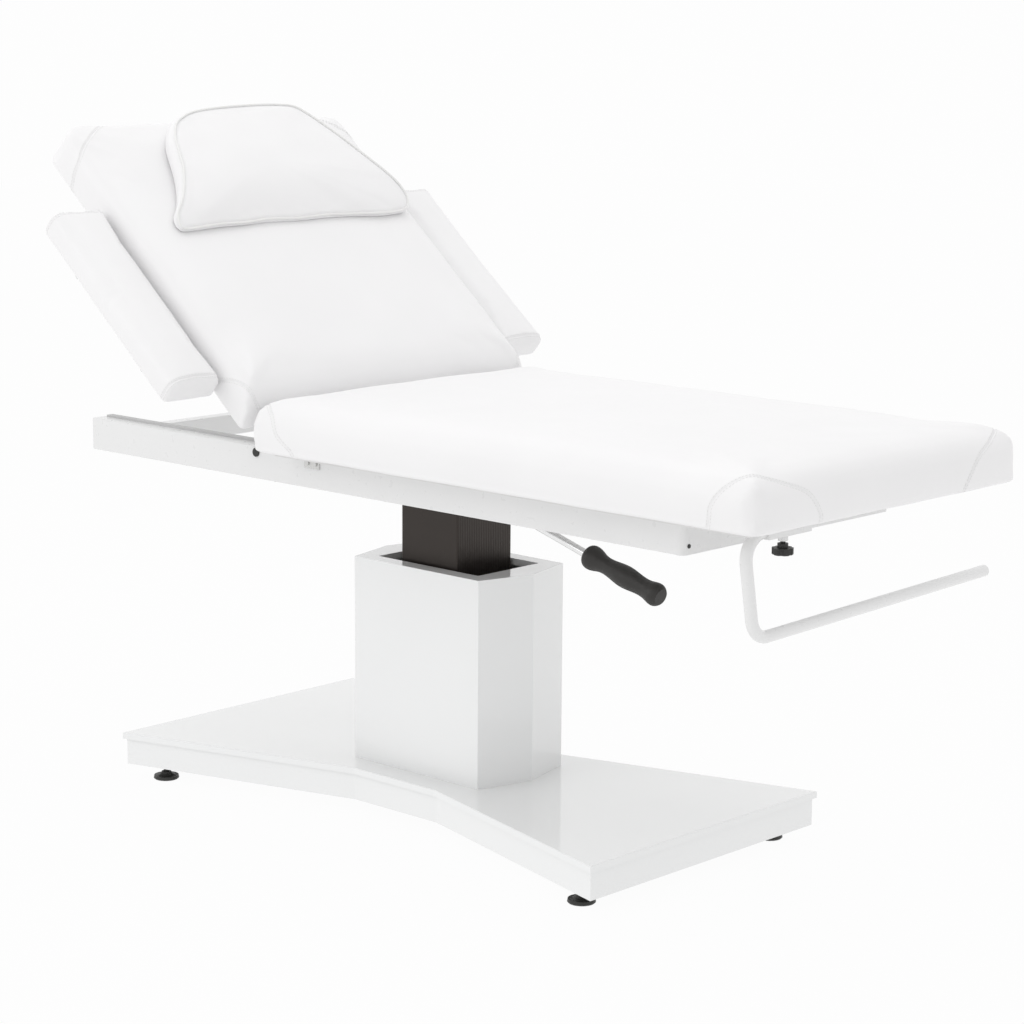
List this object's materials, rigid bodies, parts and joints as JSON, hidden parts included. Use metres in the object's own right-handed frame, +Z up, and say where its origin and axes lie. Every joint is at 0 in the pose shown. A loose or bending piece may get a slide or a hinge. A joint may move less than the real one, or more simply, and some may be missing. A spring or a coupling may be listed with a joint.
{
  "type": "facial treatment bed",
  "caption": "Treatment bed on an electric lifting column, with a tilting backrest, slide-in armrests, a head pillow, a release lever and a paper roll holder under the foot end.",
  "frame": {"origin": "on the floor, under the middle of the bed's whole outline at rest", "axes": "+X towards the foot end, +Y towards the side away from the release lever, +Z up"},
  "size_m": [1.6764, 0.953, 1.2622],
  "materials": {
    "white_upholstery": "soft satin",
    "white_frame_paint": "gloss",
    "white_board": "white gloss lacquer",
    "white_rim": "gloss",
    "dark_column": "dark anodised, ribbed",
    "dark_metal": "satin",
    "bright_steel": "zinc plated",
    "chrome": "mirror",
    "black_plastic": "matte",
    "black_rubber": "matte",
    "grey_strip": "matte",
    "hidden_board": "bare plywood",
    "pale_plastic": "satin"
  },
  "bodies": {
    "base": {"base_plate": "white_board", "base_skirt": "white_board", "base_cross_tubes": "dark_metal", "base_spines": "dark_metal", "foot_lock_nuts": "bright_steel", "casing_front_board": "white_board", "casing_rear_board": "white_board", "casing_end_panels": "white_board", "casing_top_rim": "white_rim", "column_outer_tube": "dark_column", "column_flange": "dark_metal", "column_bolts": "bright_steel", "column_glides": "pale_plastic", "actuator_tube": "dark_metal", "lift_motor": "dark_metal", "control_box": "black_plastic", "rear_sockets": "black_plastic"},
    "lift_frame": {"column_inner_tube": "dark_column", "column_head_plate": "dark_metal", "actuator_ram": "bright_steel", "rail_near": "white_frame_paint", "rail_far": "white_frame_paint", "frame_end_bar": "white_frame_paint", "frame_cross_tubes": "white_frame_paint", "spring_cross_tube": "white_frame_paint", "rail_end_caps": "pale_plastic", "frame_plugs": "black_plastic", "hinge_brackets": "white_frame_paint", "pivot_pins": "bright_steel", "seat_clips": "bright_steel", "seat_board": "hidden_board", "seat_cushion": "white_upholstery", "backrest_rest_strips": "grey_strip", "roll_socket": "white_frame_paint", "lever_bracket": "white_frame_paint", "gas_spring_yoke": "white_frame_paint", "release_cable": "black_rubber"},
    "backrest": {"backrest_board": "hidden_board", "backrest_cushion": "white_upholstery", "backrest_subframe": "white_frame_paint", "hinge_ears": "white_frame_paint", "spring_clevis": "white_frame_paint", "armrest_sockets": "white_frame_paint"},
    "armrest_near": {"armrest_bars_near": "chrome", "armrest_cushion_near": "white_upholstery"},
    "armrest_far": {"armrest_bars_far": "chrome", "armrest_cushion_far": "white_upholstery"},
    "pillow": {"pillow": "white_upholstery"},
    "gas_spring_cylinder": {"gas_spring_cylinder": "dark_metal"},
    "gas_spring_rod": {"gas_spring_rod": "chrome"},
    "release_lever": {"release_lever_rod": "chrome", "release_lever_grip": "black_rubber"},
    "roll_holder": {"roll_holder_tube": "white_frame_paint"},
    "clamp_knob": {"clamp_knob": "black_plastic"},
    "foot_head_near": {"levelling_foot_head_near": "black_plastic"},
    "foot_head_far": {"levelling_foot_head_far": "black_plastic"},
    "foot_foot_near": {"levelling_foot_foot_near": "black_plastic"},
    "foot_foot_far": {"levelling_foot_foot_far": "black_plastic"}
  },
  "joints": [
    {"name": "lift", "type": "slide", "parent": "base", "child": "lift_frame", "axis": [0, 0, 1], "range_m": [-0.15, 0.09]},
    {"name": "level_head_near", "type": "slide", "parent": "base", "child": "foot_head_near", "axis": [0, 0, 1], "range_m": [-0.012, 0.006]},
    {"name": "level_head_far", "type": "slide", "parent": "base", "child": "foot_head_far", "axis": [0, 0, 1], "range_m": [-0.012, 0.006]},
    {"name": "level_foot_near", "type": "slide", "parent": "base", "child": "foot_foot_near", "axis": [0, 0, 1], "range_m": [-0.012, 0.006]},
    {"name": "level_foot_far", "type": "slide", "parent": "base", "child": "foot_foot_far", "axis": [0, 0, 1], "range_m": [-0.012, 0.006]},
    {"name": "backrest_tilt", "type": "hinge", "parent": "lift_frame", "child": "backrest", "pos_m": [-0.2743, 0, 0.744], "axis": [0, 1, 0], "range_deg": [-40.5, 30]},
    {"name": "gas_spring_swing", "type": "hinge", "parent": "lift_frame", "child": "gas_spring_cylinder", "pos_m": [-0.3023, 0, 0.66], "axis": [0, 1, 0], "range_deg": [-37.5, 28]},
    {"name": "gas_spring_stroke", "type": "slide", "parent": "gas_spring_cylinder", "child": "gas_spring_rod", "axis": [-0.7938, 0, 0.6081], "range_m": [-0.058, 0.043]},
    {"name": "release_lever_lift", "type": "hinge", "parent": "lift_frame", "child": "release_lever", "pos_m": [0.1147, -0.186, 0.64], "axis": [0, -1, 0], "range_deg": [0, 12], "stiffness_Nm_per_rad": 8, "springref_deg": -8.59},
    {"name": "armrest_near_slide", "type": "slide", "parent": "backrest", "child": "armrest_near", "axis": [0, -1, 0], "range_m": [0, 0.1]},
    {"name": "armrest_far_slide", "type": "slide", "parent": "backrest", "child": "armrest_far", "axis": [0, 1, 0], "range_m": [0, 0.1]},
    {"name": "pillow_slide", "type": "slide", "parent": "backrest", "child": "pillow", "axis": [-0.7604, 0, 0.6494], "range_m": [-0.08, 0.03]},
    {"name": "roll_holder_slide", "type": "slide", "parent": "lift_frame", "child": "roll_holder", "axis": [0, -1, 0], "range_m": [0, 0.08]},
    {"name": "clamp_knob_turn", "type": "hinge", "parent": "lift_frame", "child": "clamp_knob", "pos_m": [0.7527, -0.174, 0.632], "axis": [0, 0, 1], "range_deg": [0, 360]}
  ],
  "couplings": [
    {"joint": "gas_spring_swing", "follows": "backrest_tilt", "ratio": 0.915},
    {"joint": "gas_spring_stroke", "follows": "backrest_tilt", "m_per_rad": 0.0807}
  ]
}
